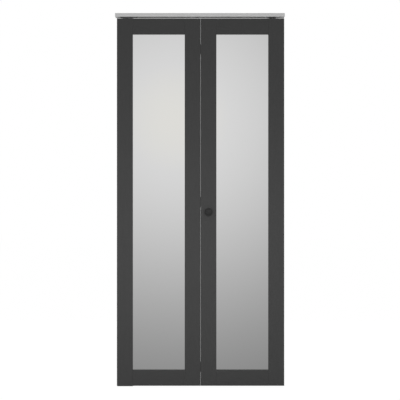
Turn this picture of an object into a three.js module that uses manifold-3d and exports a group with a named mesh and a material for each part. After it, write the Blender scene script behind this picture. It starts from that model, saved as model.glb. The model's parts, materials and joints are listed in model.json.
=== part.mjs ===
// Mirrored bifold closet door. Two mirror panels are hinged to each other in
// the middle and hang under a track: the left one turns on pivot pins near its
// outer edge, and a sprung guide leads the far end of the right one.
// Lengths are millimetres. X runs along the track, the room lies towards -Y and
// Z points up. The origin is on the floor, in the middle of the door's box.

import * as THREE from 'three';
import { mergeVertices } from 'three/addons/utils/BufferGeometryUtils.js';
import Module from 'manifold-3d';

const wasm = await Module();
wasm.setup();

// Fits shared by all pieces
const seat_gap = 0.3;
const cut_overrun = 1;

// Facets of round pieces, and counts
const round_segments = 20;
const small_segments = 16;
const knob_segments = 36;
const corner_segments = 3;
const hex_sides = 6;

// Track over the opening
const track_length = 914;
const track_height = 20;
const track_depth = 32;
const track_wall = 1.2;
const track_slot = 16;
const track_shoulder = 0.8;
const track_shoulder_height = 8;
const track_shoulder_slope = 1;
const track_lean = 0.8;
const track_hole_radius = 2.5;
const track_hole_end = 17;
const track_hole_middle = 150;

// Door in the opening
const panel_height = 1976.5;
const panel_thickness = 35;
const fold_gap = 0.5;
const pivot_side_clearance = 10.4;
const lead_side_clearance = 3.4;
const floor_clearance = 4;
const track_clearance = 10;

// Frame of a panel
const stile_width = 85;
const top_rail_height = 84.5;
const bottom_rail_height = 85;
const rebate_width = 10;
const tenon_length = 14;
const tenon_thickness = 12;
const tenon_shoulder = 3;

// Mirror and what holds it in the frame's rebate
const mirror_recess = 6;
const mirror_thickness = 4;
const mirror_side_clearance = 1;
const board_thickness = 3;
const bead_chamfer = 1.5;

// Pivot and guide axes, from the outer edge of their panel
const pivot_inset = 62;

// Sprung pins in the door's top edge
const pin_radius = 3.5;
const pin_tip_chamfer = 0.8;
const pin_collar_radius = 4.2;
const pin_collar_height = 4;
const pin_tail_radius = 2.8;
const pin_tail_length = 16;
const sleeve_length = 40;
const sleeve_wall = 1.2;
const sleeve_floor = 1.5;
const flange_length = 64;
const flange_depth = 22;
const flange_thickness = 2;
const flange_corner_radius = 4;
const spring_wire_radius = 0.45;
const spring_turns = 9;
const spring_steps_per_turn = 8;
const spring_wire_sides = 5;

// Bracket that holds the top pivot pin in the track
const bracket_plate_depth = 26;
const bracket_plate_thickness = 4;
const bracket_left_reach = 47;
const bracket_right_reach = 51;
const bracket_block_left_reach = 45;
const bracket_block_right_reach = 21;
const bracket_drop = 2.5;
const bracket_corner_radius = 3;
const bracket_pin_engagement = 8;
const lock_screw_offset = 41;
const lock_screw_radius = 2.5;
const lock_screw_head_radius = 4.5;
const lock_screw_head_height = 3;
const lock_screw_slot_width = 1.2;
const lock_screw_slot_depth = 1.4;

// Guide shoe that runs in the track's slot
const shoe_length = 42;
const shoe_height = 7;
const shoe_drop = 2.5;
const shoe_roof = 1.5;

// Bottom pivot: floor bracket, nylon socket, pin, nut and insert
const foot_length = 86;
const foot_depth = 22;
const foot_thickness = 1.8;
const foot_corner_radius = 4;
const foot_left_reach = 61.4;
const foot_hole_radius = 2.6;
const foot_hole_first = 12;
const foot_hole_spacing = 26;
const boss_radius = 7;
const boss_height = 10.2;
const boss_wall = 1.2;
const socket_floor = 1.5;
const nut_across_flats = 11;
const nut_thickness = 2;
const insert_length = 40;
const insert_wall = 1.9;
const insert_roof = 1.5;
const insert_flange_radius = 8;
const insert_flange_thickness = 1;
const insert_flange_clearance = 1.5;
const bottom_pin_reach = 30;

// Fold hinges on the back of the door
const hinge_height = 50;
const hinge_low = 92;
const hinge_high = 157.5;
const leaf_width = 30;
const leaf_thickness = 1.6;
const leaf_corner_radius = 4;
const barrel_radius = 3.5;
const hinge_pin_radius = 1.5;
const hinge_pin_head_radius = 2.6;
const hinge_pin_head_height = 1.2;
const leaf_screw_edge = 9;
const leaf_screw_radius = 1.8;
const leaf_screw_head_radius = 3.5;
const leaf_screw_head_depth = 1.4;
const leaf_screw_length = 18;
const leaf_screw_point = 3;
const recess_length = 3.6;
const recess_width = 0.8;
const recess_depth = 0.9;

// Knob on the fold stile of the lead panel
const knob_height = 934;
const knob_projection = 30;
const knob_radius = 15.5;
const knob_head_height = 13;
const knob_edge = 3;
const knob_dome = 2;
const knob_neck_radius = 7.5;
const knob_base_radius = 10;
const knob_base_height = 3;
const knob_thread_spare = 4;
const rose_radius = 22;
const rose_thickness = 4;
const rose_bevel = 1.5;
const bolt_radius = 2.2;
const bolt_reach = 10;
const bolt_head_radius = 5;
const bolt_head_height = 2.4;
const bolt_head_clearance = 0.8;

// Finishes
const charcoal_frame = { color: 0x434343, roughness: 0.5, metalness: 0 };
const mirror_glass = { color: 0xdde0df, roughness: 0.04, metalness: 1 };
const hardboard = { color: 0x6b5a48, roughness: 0.85, metalness: 0 };
const satin_track = { color: 0xb9b9b8, roughness: 0.38, metalness: 0.9 };
const dark_steel = { color: 0x3a3a3b, roughness: 0.42, metalness: 0.8 };
const zinc_steel = { color: 0x9a9b9c, roughness: 0.35, metalness: 0.9 };
const black_nylon = { color: 0x1e1e1f, roughness: 0.6, metalness: 0 };
const black_satin = { color: 0x303030, roughness: 0.4, metalness: 0.4 };

// Places that follow from the sizes
const panel_width = (track_length - pivot_side_clearance - lead_side_clearance - fold_gap) / 2;
const door_shift = (pivot_side_clearance - lead_side_clearance) / 2;
const half_thickness = panel_thickness / 2;
const door_bottom = floor_clearance;
const door_top = door_bottom + panel_height;
const track_bottom = door_top + track_clearance;
const panel_offset = (fold_gap + panel_width) / 2;
const pivot_x = door_shift - fold_gap / 2 - panel_width + pivot_inset;
const bore_offset = stile_width / 2 - pivot_inset;
const fold_axis_y = half_thickness + seat_gap + barrel_radius;
const back_y = fold_axis_y + barrel_radius;
const front_y = -half_thickness - knob_projection;
const door_plane_y = -(front_y + back_y) / 2;

const opening_width = panel_width - 2 * stile_width;
const opening_bottom = bottom_rail_height;
const opening_top = panel_height - top_rail_height;
const mirror_overlap = rebate_width - mirror_side_clearance;
const mirror_front = -half_thickness + mirror_recess + seat_gap;
const board_front = mirror_front + mirror_thickness + seat_gap;
const bead_front = board_front + board_thickness + seat_gap;

const pin_hole_radius = pin_radius + seat_gap;
const sleeve_bore_radius = pin_collar_radius + seat_gap;
const sleeve_radius = sleeve_bore_radius + sleeve_wall;
const insert_radius = pin_hole_radius + insert_wall;
const flange_top = seat_gap + flange_thickness;
const hinge_heights = {
  low: hinge_low,
  middle: panel_height / 2,
  high: panel_height - hinge_high,
};
const leaf_screw_x = leaf_width - leaf_screw_edge;
const leaf_screw_z = hinge_height / 2 - leaf_screw_edge;
const knuckle_height = (hinge_height - 2 * seat_gap) / 3;

// Six times the volume inside a closed set of triangles, negative when it is inside out
function signedVolume(points, triangles) {
  const [a, b, c] = [new THREE.Vector3(), new THREE.Vector3(), new THREE.Vector3()];
  let volume = 0;
  for (let first = 0; first < triangles.length; first += 3) {
    a.fromBufferAttribute(points, triangles[first]);
    b.fromBufferAttribute(points, triangles[first + 1]);
    c.fromBufferAttribute(points, triangles[first + 2]);
    volume += a.dot(b.cross(c));
  }
  return volume;
}

// Shares the corners of a geometry, drops collapsed triangles and turns its faces outward
function welded(geometry) {
  geometry.deleteAttribute('normal');
  geometry.deleteAttribute('uv');
  const merged = mergeVertices(geometry);
  const points = merged.getAttribute('position');
  const triangles = [];
  for (let first = 0; first < merged.index.count; first += 3) {
    const [i, j, k] = [0, 1, 2].map((corner) => merged.index.getX(first + corner));
    if (i !== j && j !== k && k !== i) triangles.push(i, j, k);
  }
  if (signedVolume(points, triangles) < 0) triangles.reverse();
  merged.setIndex(triangles);
  return merged;
}

function solidOf(geometry) {
  const closed = welded(geometry);
  return new wasm.Manifold(new wasm.Mesh({
    numProp: 3,
    vertProperties: new Float32Array(closed.getAttribute('position').array),
    triVerts: new Uint32Array(closed.index.array),
  }));
}

function geometryOf(solid) {
  const mesh = solid.getMesh();
  const geometry = new THREE.BufferGeometry();
  geometry.setAttribute('position', new THREE.BufferAttribute(new Float32Array(mesh.vertProperties), 3));
  geometry.setIndex(new THREE.BufferAttribute(new Uint32Array(mesh.triVerts), 1));
  return geometry;
}

// Joins the first list of geometries into one solid and cuts the second list out of it
function shaped(joined, cut = []) {
  let solid = joined.map(solidOf).reduce((whole, more) => whole.add(more));
  for (const cutter of cut) {
    solid = solid.subtract(solidOf(cutter));
  }
  return geometryOf(solid);
}

function boxBetween(low, high) {
  const size = high.map((value, axis) => value - low[axis]);
  const middle = high.map((value, axis) => (value + low[axis]) / 2);
  return new THREE.BoxGeometry(...size).translate(...middle);
}

// A solid turned about the Z axis, from [radius, z] points
function turned(profile, segments = round_segments) {
  const points = profile.map(([radius, z]) => new THREE.Vector2(radius, z));
  return new THREE.LatheGeometry(points, segments).rotateX(Math.PI / 2);
}

function cylinderBetween(radius, bottom, top, segments = round_segments) {
  return turned([[0, bottom], [radius, bottom], [radius, top], [0, top]], segments);
}

// The same for small pins, barrels and screw holes
function smallCylinder(radius, bottom, top) {
  return cylinderBetween(radius, bottom, top, small_segments);
}

// Turns a solid built along +Z to face the room or the closet behind the door
function facingRoom(geometry) {
  return geometry.rotateX(Math.PI / 2);
}

function facingBack(geometry) {
  return geometry.rotateX(-Math.PI / 2);
}

function roundedRectangle(left, right, low, high, radius) {
  const shape = new THREE.Shape();
  shape.moveTo(left + radius, low);
  shape.absarc(right - radius, low + radius, radius, -Math.PI / 2, 0, false);
  shape.absarc(right - radius, high - radius, radius, 0, Math.PI / 2, false);
  shape.absarc(left + radius, high - radius, radius, Math.PI / 2, Math.PI, false);
  shape.absarc(left + radius, low + radius, radius, Math.PI, 1.5 * Math.PI, false);
  return shape;
}

// A flat plate: the outline lies in the XY plane and its thickness runs up Z
function plateUp(shape, bottom, top) {
  const settings = { depth: top - bottom, bevelEnabled: false, curveSegments: corner_segments };
  return new THREE.ExtrudeGeometry(shape, settings).translate(0, 0, bottom);
}

// A flat plate: the outline lies in the XZ plane and its thickness runs along Y
function plateAcross(shape, front, back, chamfer = 0) {
  const settings = {
    depth: back - front - 2 * chamfer,
    bevelEnabled: chamfer > 0,
    bevelThickness: chamfer,
    bevelSize: chamfer,
    bevelOffset: -chamfer,
    bevelSegments: 1,
    curveSegments: corner_segments,
  };
  const geometry = new THREE.ExtrudeGeometry(shape, settings).rotateX(Math.PI / 2);
  return geometry.translate(0, back - chamfer, 0);
}

// Adds one named piece to a group
function addPiece(group, name, geometry, finish, place = [0, 0, 0]) {
  const mesh = new THREE.Mesh(welded(geometry), new THREE.MeshStandardMaterial(finish));
  mesh.geometry.computeVertexNormals();
  mesh.name = name;
  mesh.position.set(...place);
  group.add(mesh);
}

// Track: a folded channel, open below, whose walls stand out near the bottom and lean in above
function trackSection() {
  const outer = track_depth / 2;
  const inner = outer - track_wall;
  const upper = outer - track_shoulder;
  const crest = upper - track_lean;
  const shoulder = track_shoulder_height;
  const step = shoulder + track_shoulder_slope;
  const slot = track_slot / 2;
  const right = [
    [slot, 0],
    [outer, 0],
    [outer, shoulder],
    [upper, step],
    [crest, track_height],
  ];
  const inside = [
    [crest - track_wall, track_height - track_wall],
    [upper - track_wall, step],
    [inner, shoulder],
    [inner, track_wall],
    [slot, track_wall],
  ];
  const mirrored = (points) => points.map(([y, z]) => [-y, z]).reverse();
  const outline = [...right, ...mirrored(right), ...mirrored(inside), ...inside];
  return new THREE.Shape(outline.map(([y, z]) => new THREE.Vector2(y, z)));
}

function trackGeometry() {
  const settings = { depth: track_length, bevelEnabled: false };
  const channel = new THREE.ExtrudeGeometry(trackSection(), settings);
  const along = new THREE.Matrix4().makeBasis(
    new THREE.Vector3(0, 1, 0),
    new THREE.Vector3(0, 0, 1),
    new THREE.Vector3(1, 0, 0),
  );
  channel.applyMatrix4(along).translate(-track_length / 2, 0, 0);
  const hole_end_x = track_length / 2 - track_hole_end;
  const holes = [-hole_end_x, -track_hole_middle, track_hole_middle, hole_end_x].map((x) =>
    smallCylinder(
      track_hole_radius,
      track_height - track_wall - cut_overrun,
      track_height + cut_overrun,
    ).translate(x, 0, 0));
  return shaped([channel], holes);
}

// Bracket of the top pivot: a plate on the track's lips and a block in its slot
function topBracketGeometry() {
  const plate_bottom = track_wall + seat_gap;
  const plate_top = plate_bottom + bracket_plate_thickness;
  const half_depth = bracket_plate_depth / 2;
  const half_slot = track_slot / 2 - seat_gap;
  const plate = roundedRectangle(
    -bracket_left_reach, bracket_right_reach, -half_depth, half_depth, bracket_corner_radius);
  const block = roundedRectangle(
    -bracket_block_left_reach, bracket_block_right_reach, -half_slot, half_slot, bracket_corner_radius);
  const below = -bracket_drop - cut_overrun;
  const above = plate_top + cut_overrun;
  const screw_hole = cylinderBetween(lock_screw_radius + seat_gap, below, above);
  return shaped(
    [plateUp(plate, plate_bottom, plate_top), plateUp(block, -bracket_drop, plate_top)],
    [cylinderBetween(pin_hole_radius, below, above), screw_hole.translate(lock_screw_offset, 0, 0)],
  );
}

// Lock screw: turned up through the bracket against the roof of the track
function lockScrewGeometry() {
  const head_top = track_wall;
  const head_bottom = head_top - lock_screw_head_height;
  const tip = track_height - track_wall - seat_gap;
  const screw = turned([
    [0, head_bottom],
    [lock_screw_head_radius, head_bottom],
    [lock_screw_head_radius, head_top],
    [lock_screw_radius, head_top],
    [lock_screw_radius, tip],
    [0, tip],
  ]);
  const reach = lock_screw_head_radius + cut_overrun;
  const slot = boxBetween(
    [-reach, -lock_screw_slot_width / 2, head_bottom - cut_overrun],
    [reach, lock_screw_slot_width / 2, head_bottom + lock_screw_slot_depth],
  );
  return shaped([screw], [slot]);
}

// Floor bracket: a screwed-down plate with an upright boss for the socket
function footGeometry() {
  const half_depth = foot_depth / 2;
  const right_reach = foot_length - foot_left_reach;
  const plate = roundedRectangle(
    -foot_left_reach, right_reach, -half_depth, half_depth, foot_corner_radius);
  const top = foot_thickness + boss_height;
  const holes = [0, 1].map((place) =>
    smallCylinder(foot_hole_radius, -cut_overrun, foot_thickness + cut_overrun)
      .translate(foot_hole_first + place * foot_hole_spacing - foot_left_reach, 0, 0));
  return shaped(
    [plateUp(plate, 0, foot_thickness), cylinderBetween(boss_radius, 0, top)],
    [cylinderBetween(boss_radius - boss_wall, foot_thickness, top + cut_overrun), ...holes],
  );
}

function socketGeometry() {
  const outer = boss_radius - boss_wall - seat_gap;
  const bottom = foot_thickness + seat_gap;
  const top = foot_thickness + boss_height - seat_gap;
  return turned([
    [0, bottom],
    [outer, bottom],
    [outer, top],
    [pin_hole_radius, top],
    [pin_hole_radius, bottom + socket_floor],
    [0, bottom + socket_floor],
  ]);
}

// Heights of the bottom pivot's stack above the floor
const socket_top = foot_thickness + boss_height;
const bottom_pin_tip = foot_thickness + 2 * seat_gap + socket_floor;
const nut_bottom = socket_top + seat_gap;
const insert_bottom = nut_bottom + nut_thickness + seat_gap;
const insert_seat = insert_bottom + insert_flange_thickness + seat_gap;
const insert_top = insert_bottom + insert_length;
const bottom_pin_top = insert_bottom + bottom_pin_reach;

function nutGeometry() {
  const corner_radius = nut_across_flats / 2 / Math.cos(Math.PI / hex_sides);
  const blank = turned([
    [0, nut_bottom],
    [corner_radius, nut_bottom],
    [corner_radius, nut_bottom + nut_thickness],
    [0, nut_bottom + nut_thickness],
  ], hex_sides);
  const hole = cylinderBetween(
    pin_hole_radius, nut_bottom - cut_overrun, nut_bottom + nut_thickness + cut_overrun);
  return shaped([blank], [hole]);
}

function insertGeometry() {
  const flange_top_z = insert_bottom + insert_flange_thickness;
  const roof = insert_top - insert_roof;
  return turned([
    [pin_hole_radius, insert_bottom],
    [insert_flange_radius, insert_bottom],
    [insert_flange_radius, flange_top_z],
    [insert_radius, flange_top_z],
    [insert_radius, insert_top],
    [0, insert_top],
    [0, roof],
    [pin_hole_radius, roof],
    [pin_hole_radius, insert_bottom],
  ]);
}

function bottomPinGeometry() {
  return turned([
    [0, bottom_pin_tip],
    [pin_radius - pin_tip_chamfer, bottom_pin_tip],
    [pin_radius, bottom_pin_tip + pin_tip_chamfer],
    [pin_radius, bottom_pin_top],
    [0, bottom_pin_top],
  ]);
}

// Sleeve in the door's top edge. Its flange lies on the edge and keeps the pin's collar in.
function sleeveGeometry() {
  const half_length = flange_length / 2;
  const half_depth = flange_depth / 2;
  const flange = roundedRectangle(
    -half_length, half_length, -half_depth, half_depth, flange_corner_radius);
  return shaped(
    [plateUp(flange, seat_gap, flange_top), cylinderBetween(sleeve_radius, -sleeve_length, flange_top)],
    [
      cylinderBetween(sleeve_bore_radius, sleeve_floor - sleeve_length, seat_gap),
      cylinderBetween(pin_hole_radius, -sleeve_length / 2, flange_top + cut_overrun),
    ],
  );
}

// Sprung pin: a shaft that stands out of the flange, a collar below it, and a tail in the spring
function sprungPinGeometry(tip) {
  const tail_bottom = -pin_collar_height - pin_tail_length;
  return turned([
    [0, tail_bottom],
    [pin_tail_radius, tail_bottom],
    [pin_tail_radius, -pin_collar_height],
    [pin_collar_radius, -pin_collar_height],
    [pin_collar_radius, 0],
    [pin_radius, 0],
    [pin_radius, tip - pin_tip_chamfer],
    [pin_radius - pin_tip_chamfer, tip],
    [0, tip],
  ]);
}

// Middle line of the spring that stands on the sleeve's floor and lifts the pin's collar
class SpringLine extends THREE.Curve {
  constructor() {
    super();
    this.radius = (pin_tail_radius + sleeve_bore_radius) / 2;
    this.bottom = sleeve_floor - sleeve_length + seat_gap + spring_wire_radius;
    this.top = -pin_collar_height - seat_gap - spring_wire_radius;
  }

  getPoint(share, target = new THREE.Vector3()) {
    const angle = share * spring_turns * 2 * Math.PI;
    const height = this.bottom + share * (this.top - this.bottom);
    return target.set(this.radius * Math.cos(angle), this.radius * Math.sin(angle), height);
  }
}

function springGeometry() {
  const section = new THREE.Shape();
  for (let side = 0; side < spring_wire_sides; side += 1) {
    const angle = (side / spring_wire_sides) * 2 * Math.PI;
    const [x, y] = [spring_wire_radius * Math.cos(angle), spring_wire_radius * Math.sin(angle)];
    if (side === 0) section.moveTo(x, y);
    else section.lineTo(x, y);
  }
  section.closePath();
  const steps = spring_turns * spring_steps_per_turn;
  return new THREE.ExtrudeGeometry(section, { steps, extrudePath: new SpringLine() });
}

// Guide shoe: a block with round ends, with a blind hole below for the guide pin
const shoe_bottom = track_clearance - shoe_drop;

function shoeGeometry() {
  const half_width = track_slot / 2 - seat_gap;
  const half_length = shoe_length / 2;
  const outline = roundedRectangle(-half_length, half_length, -half_width, half_width, half_width);
  const hole = cylinderBetween(
    pin_hole_radius, shoe_bottom - cut_overrun, shoe_bottom + shoe_height - shoe_roof);
  return shaped([plateUp(outline, shoe_bottom, shoe_bottom + shoe_height)], [hole]);
}

// Hinge leaf, built for the side towards +X about the hinge axis and turned over for the other
function leafGeometry(side, knuckle_rows) {
  const half_height = hinge_height / 2;
  const plate_front = -barrel_radius;
  const plate_back = plate_front + leaf_thickness;
  const outline = new THREE.Shape();
  outline.moveTo(0, -half_height);
  outline.lineTo(leaf_width - leaf_corner_radius, -half_height);
  outline.absarc(leaf_width - leaf_corner_radius, -half_height + leaf_corner_radius,
    leaf_corner_radius, -Math.PI / 2, 0, false);
  outline.absarc(leaf_width - leaf_corner_radius, half_height - leaf_corner_radius,
    leaf_corner_radius, 0, Math.PI / 2, false);
  outline.lineTo(0, half_height);
  const plate = plateAcross(outline, plate_front, plate_back);
  const knuckles = [];
  const notches = [];
  for (const row of [0, 1, 2]) {
    const bottom = -half_height + row * (knuckle_height + seat_gap);
    const top = bottom + knuckle_height;
    if (knuckle_rows.includes(row)) {
      knuckles.push(smallCylinder(barrel_radius, bottom, top));
    } else {
      const reach = barrel_radius + seat_gap;
      notches.push(boxBetween(
        [-reach, -reach, bottom - seat_gap],
        [reach, reach, top + seat_gap],
      ));
    }
  }
  const bore = smallCylinder(
    hinge_pin_radius + seat_gap, -half_height - cut_overrun, half_height + cut_overrun);
  const holes = [-leaf_screw_z, leaf_screw_z].map((z) =>
    facingBack(turned(leafScrewProfile(seat_gap, cut_overrun), small_segments))
      .translate(leaf_screw_x, plate_back, z));
  return shaped([shaped([plate], notches), ...knuckles], [bore, ...holes]).scale(side, 1, 1);
}

// Outline of a countersunk screw with its head's face at z = 0, or of the hole that clears it
function leafScrewProfile(clearance, overrun) {
  const shank = leaf_screw_radius + clearance;
  const head = leaf_screw_head_radius + clearance;
  const neck = -leaf_screw_head_depth;
  const tip = -leaf_screw_length - clearance;
  const profile = [[0, tip], [shank, tip + leaf_screw_point], [shank, neck], [head, 0]];
  if (overrun > 0) profile.push([head, overrun]);
  return [...profile, [0, overrun]];
}

// Two bars that cut a cross into a screw's head
function crossRecess(bottom, top) {
  const [long, short] = [recess_length / 2, recess_width / 2];
  return [
    boxBetween([-long, -short, bottom], [long, short, top]),
    boxBetween([-short, -long, bottom], [short, long, top]),
  ];
}

function leafScrewGeometry() {
  const screw = turned(leafScrewProfile(0, 0), small_segments);
  return facingBack(shaped([screw], crossRecess(-recess_depth, cut_overrun)));
}

function hingePinGeometry() {
  const neck = hinge_height / 2 + seat_gap;
  const end = neck + hinge_pin_head_height;
  return turned([
    [0, -end],
    [hinge_pin_head_radius, -end],
    [hinge_pin_head_radius, -neck],
    [hinge_pin_radius, -neck],
    [hinge_pin_radius, neck],
    [hinge_pin_head_radius, neck],
    [hinge_pin_head_radius, end],
    [0, end],
  ], small_segments);
}

// Stile with x = 0 in its middle. inner is the side of the mirror: 1 towards +X, -1 towards -X.
function stileGeometry(inner, cutters) {
  const half_width = stile_width / 2;
  const blank = boxBetween(
    [-half_width, -half_thickness, 0],
    [half_width, half_thickness, panel_height],
  );
  const fromInnerEdge = (depth, front, back, bottom, top) => {
    const ends = [inner * (half_width - depth), inner * (half_width + cut_overrun)];
    return boxBetween([Math.min(...ends), front, bottom], [Math.max(...ends), back, top]);
  };
  const rebate = fromInnerEdge(
    rebate_width, mirror_front - seat_gap, half_thickness + cut_overrun,
    opening_bottom - rebate_width, opening_top + rebate_width);
  const mortise_half = tenon_thickness / 2 + seat_gap;
  const mortises = [tenonSpan(0, bottom_rail_height), tenonSpan(opening_top, top_rail_height)]
    .map(([bottom, top]) => fromInnerEdge(
      tenon_length, -mortise_half, mortise_half, bottom - seat_gap, top + seat_gap));
  return shaped([blank], [rebate, ...mortises, ...cutters]);
}

// Heights between which a rail's tenon runs, clear of the rebate
function tenonSpan(rail_bottom, rail_height) {
  const shoulder = rebate_width + tenon_shoulder;
  return [rail_bottom + shoulder, rail_bottom + rail_height - shoulder];
}

// Rail with its tenons. inner is the side of the mirror: 1 above the rail, -1 below it.
function railGeometry(rail_height, inner) {
  const half_body = opening_width / 2 - seat_gap;
  const half_tenon = opening_width / 2 + tenon_length - seat_gap;
  const [tenon_bottom, tenon_top] = tenonSpan(0, rail_height);
  const body = boxBetween([-half_body, -half_thickness, 0], [half_body, half_thickness, rail_height]);
  const tenon = boxBetween(
    [-half_tenon, -tenon_thickness / 2, tenon_bottom],
    [half_tenon, tenon_thickness / 2, tenon_top],
  );
  const rebate_low = inner > 0 ? rail_height - rebate_width : -cut_overrun;
  const rebate_high = inner > 0 ? rail_height + cut_overrun : rebate_width;
  const rebate = boxBetween(
    [-opening_width, mirror_front - seat_gap, rebate_low],
    [opening_width, half_thickness + cut_overrun, rebate_high],
  );
  return shaped([body, tenon], [rebate]);
}

// Mirror or backing board: a sheet that fills the rebate up to its side clearance
function sheetGeometry(front, thickness) {
  const half_width = opening_width / 2 + mirror_overlap;
  return boxBetween(
    [-half_width, front, opening_bottom - mirror_overlap],
    [half_width, front + thickness, opening_top + mirror_overlap],
  );
}

// Beads: four mitred strips that fill the rebate behind the backing board
function beadShapes() {
  const reach = rebate_width - seat_gap;
  const [left, right] = [-opening_width / 2, opening_width / 2];
  const upright = (inside, side) => [
    [inside + side * reach, opening_bottom - reach + 2 * seat_gap],
    [inside, opening_bottom + 2 * seat_gap],
    [inside, opening_top - 2 * seat_gap],
    [inside + side * reach, opening_top + reach - 2 * seat_gap],
  ];
  const level = (inside, side) => [
    [left - reach, inside + side * reach],
    [left, inside],
    [right, inside],
    [right + reach, inside + side * reach],
  ];
  return {
    left: upright(left, -1),
    right: upright(right, 1),
    bottom: level(opening_bottom, -1),
    top: level(opening_top, 1),
  };
}

// Frame, mirror, board and beads of one panel. side is where its outer edge lies: -1 or 1.
function addPanel(panel, prefix, side, outer_cutters, fold_cutters) {
  const stile_x = (panel_width - stile_width) / 2;
  addPiece(panel, `${prefix}_outer_stile`, stileGeometry(-side, outer_cutters), charcoal_frame,
    [side * stile_x, 0, 0]);
  addPiece(panel, `${prefix}_fold_stile`, stileGeometry(side, fold_cutters), charcoal_frame,
    [-side * stile_x, 0, 0]);
  addPiece(panel, `${prefix}_top_rail`, railGeometry(top_rail_height, -1), charcoal_frame,
    [0, 0, opening_top]);
  addPiece(panel, `${prefix}_bottom_rail`, railGeometry(bottom_rail_height, 1), charcoal_frame);
  addPiece(panel, `${prefix}_mirror`, sheetGeometry(mirror_front, mirror_thickness), mirror_glass);
  addPiece(panel, `${prefix}_backing_board`, sheetGeometry(board_front, board_thickness), hardboard);
  for (const [place, outline] of Object.entries(beadShapes())) {
    const shape = new THREE.Shape(outline.map(([x, z]) => new THREE.Vector2(x, z)));
    addPiece(panel, `${prefix}_bead_${place}`,
      plateAcross(shape, bead_front, half_thickness, bead_chamfer), charcoal_frame);
  }
}

// Holes for the hinge screws in a fold stile. side is where the panel lies from the fold.
function hingeScrewCutters(side) {
  const fold_edge = -side * (stile_width + fold_gap) / 2;
  return Object.values(hinge_heights).flatMap((height) =>
    [-leaf_screw_z, leaf_screw_z].map((z) =>
      facingBack(smallCylinder(leaf_screw_radius + seat_gap, -leaf_screw_length, cut_overrun))
        .translate(fold_edge + side * leaf_screw_x, half_thickness, height + z)));
}

// Hinge leaves of one panel and their screws
function addLeaves(panel, prefix, side, knuckle_rows) {
  const axis_x = -side * panel_offset;
  for (const [place, height] of Object.entries(hinge_heights)) {
    const axis = [axis_x, fold_axis_y, height];
    addPiece(panel, `${prefix}_hinge_leaf_${place}`, leafGeometry(side, knuckle_rows), dark_steel, axis);
    for (const [end, z] of [['lower', -leaf_screw_z], ['upper', leaf_screw_z]]) {
      const head_y = fold_axis_y - barrel_radius + leaf_thickness;
      addPiece(panel, `${prefix}_hinge_screw_${place}_${end}`, leafScrewGeometry(), dark_steel,
        [axis_x + side * leaf_screw_x, head_y, height + z]);
    }
  }
}

function sleeveBore() {
  return cylinderBetween(
    sleeve_radius + seat_gap, panel_height - sleeve_length - seat_gap, panel_height + cut_overrun);
}

// Knob, built along +Z from the face of the rose
const knob_length = knob_projection - rose_thickness - 2 * seat_gap;

function knobGeometry() {
  const thread = bolt_radius + seat_gap;
  const head_bottom = knob_length - knob_head_height;
  const shoulder = knob_length - knob_dome;
  const rim = knob_radius - knob_edge;
  const outline = new THREE.Path();
  outline.moveTo(thread, 0);
  outline.lineTo(knob_base_radius, 0);
  outline.quadraticCurveTo(knob_neck_radius, 0, knob_neck_radius, knob_base_height);
  outline.lineTo(knob_neck_radius, head_bottom - knob_edge);
  outline.quadraticCurveTo(knob_neck_radius, head_bottom, rim, head_bottom);
  outline.quadraticCurveTo(knob_radius, head_bottom, knob_radius, head_bottom + knob_edge);
  outline.lineTo(knob_radius, shoulder - knob_edge);
  outline.quadraticCurveTo(knob_radius, shoulder, rim, shoulder);
  outline.quadraticCurveTo(rim / 2, knob_length, 0, knob_length);
  const thread_end = bolt_reach + knob_thread_spare;
  const inside = [[0, thread_end], [thread, thread_end], [thread, 0]];
  const outside = outline.getPoints(corner_segments).map((point) => [point.x, point.y]);
  return turned([...outside, ...inside], knob_segments);
}

function roseGeometry() {
  const hole = bolt_radius + seat_gap;
  return turned([
    [hole, 0],
    [rose_radius, 0],
    [rose_radius, rose_thickness - rose_bevel],
    [rose_radius - rose_bevel, rose_thickness],
    [hole, rose_thickness],
    [hole, 0],
  ], knob_segments);
}

// Bolt of the knob, built along +Z from the back of its head
const bolt_seat_depth = bolt_head_clearance + bolt_head_height + seat_gap;

function knobBoltGeometry() {
  const through_stile = panel_thickness - bolt_head_clearance;
  const end = through_stile + rose_thickness + 2 * seat_gap + bolt_reach;
  const bolt = turned([
    [0, 0],
    [bolt_head_radius, 0],
    [bolt_head_radius, bolt_head_height],
    [bolt_radius, bolt_head_height],
    [bolt_radius, end],
    [0, end],
  ], small_segments);
  return facingRoom(shaped([bolt], crossRecess(-cut_overrun, recess_depth)));
}

function knobCutters() {
  return [
    smallCylinder(bolt_radius + seat_gap, -cut_overrun, panel_thickness + cut_overrun),
    smallCylinder(bolt_head_radius + bolt_head_clearance, -cut_overrun, bolt_seat_depth),
  ].map((cutter) => facingRoom(cutter).translate(0, half_thickness, knob_height));
}

// Root: what is screwed to the building
function buildFixedParts() {
  const fixed = new THREE.Group();
  addPiece(fixed, 'top_track', trackGeometry(), satin_track, [0, 0, track_bottom]);
  addPiece(fixed, 'top_pivot_bracket', topBracketGeometry(), dark_steel, [pivot_x, 0, track_bottom]);
  addPiece(fixed, 'top_pivot_lock_screw', lockScrewGeometry(), dark_steel,
    [pivot_x + lock_screw_offset, 0, track_bottom]);
  addPiece(fixed, 'bottom_pivot_bracket', footGeometry(), dark_steel, [pivot_x, 0, 0]);
  addPiece(fixed, 'bottom_pivot_socket', socketGeometry(), black_nylon, [pivot_x, 0, 0]);
  return fixed;
}

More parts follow.
